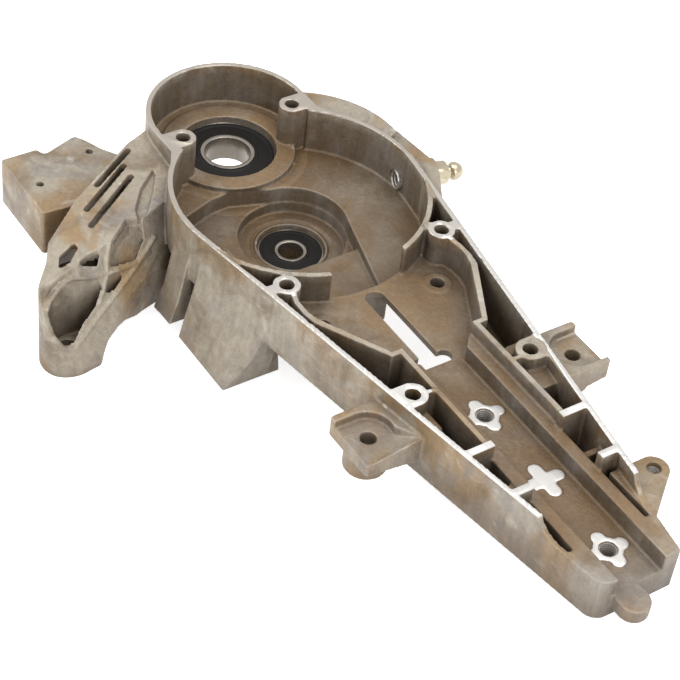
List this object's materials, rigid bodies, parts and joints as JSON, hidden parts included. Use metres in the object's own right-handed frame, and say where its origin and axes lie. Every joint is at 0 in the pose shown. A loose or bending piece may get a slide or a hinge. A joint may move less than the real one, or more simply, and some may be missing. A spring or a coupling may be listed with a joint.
{
  "type": "gearbox housing half",
  "caption": "Cast half casing of a crank gearbox with a long blade channel, two sealed bearings, a grease nipple and side mounting ears.",
  "frame": {"origin": "on the crank bearing's axis, in the machined cover face of the casing", "axes": "+X along the blade channel towards the nose, +Y across it towards the grease nipple's side, +Z square out of the open side. The casting is made to be bolted to its other half, so it keeps the frame of its cover face and the axes of its bearings."},
  "size_m": [0.2512, 0.1494, 0.044],
  "materials": {
    "casting": "as cast, satin, machined on the cover face",
    "steel": "ground and bright",
    "cage": "pressed steel",
    "seal": "matt black",
    "nipple": "yellow zinc plate"
  },
  "bodies": {
    "casing": {"housing": "casting", "pinion_bearing_outer_ring": "steel", "pinion_bearing_seal_top": "seal", "pinion_bearing_seal_bottom": "seal", "crank_bearing_outer_ring": "steel", "crank_bearing_seal_top": "seal", "crank_bearing_seal_bottom": "seal", "nipple_body": "nipple"},
    "pinion_inner": {"pinion_bearing_inner_ring": "steel"},
    "pinion_cage": {"pinion_bearing_cage": "cage", "pinion_bearing_balls": "steel"},
    "crank_inner": {"crank_bearing_inner_ring": "steel"},
    "crank_cage": {"crank_bearing_cage": "cage", "crank_bearing_balls": "steel"},
    "check_ball": {"nipple_check_ball": "steel"}
  },
  "joints": [
    {"name": "pinion_spin", "type": "hinge", "parent": "casing", "child": "pinion_inner", "pos_m": [-0.041, 0, -0.0207], "axis": [0, 0, 1], "continuous": true},
    {"name": "pinion_cage_spin", "type": "hinge", "parent": "casing", "child": "pinion_cage", "pos_m": [-0.041, 0, -0.0207], "axis": [0, 0, 1], "continuous": true},
    {"name": "crank_spin", "type": "hinge", "parent": "casing", "child": "crank_inner", "pos_m": [0, 0, -0.0311], "axis": [0, 0, 1], "continuous": true},
    {"name": "crank_cage_spin", "type": "hinge", "parent": "casing", "child": "crank_cage", "pos_m": [0, 0, -0.0311], "axis": [0, 0, 1], "continuous": true},
    {"name": "check_ball_slide", "type": "slide", "parent": "casing", "child": "check_ball", "axis": [-0.2419, -0.9703, 0], "range_m": [0, 0.001]}
  ],
  "couplings": [
    {"joint": "pinion_cage_spin", "follows": "pinion_spin", "ratio": 0.3987},
    {"joint": "crank_cage_spin", "follows": "crank_spin", "ratio": 0.3677}
  ]
}
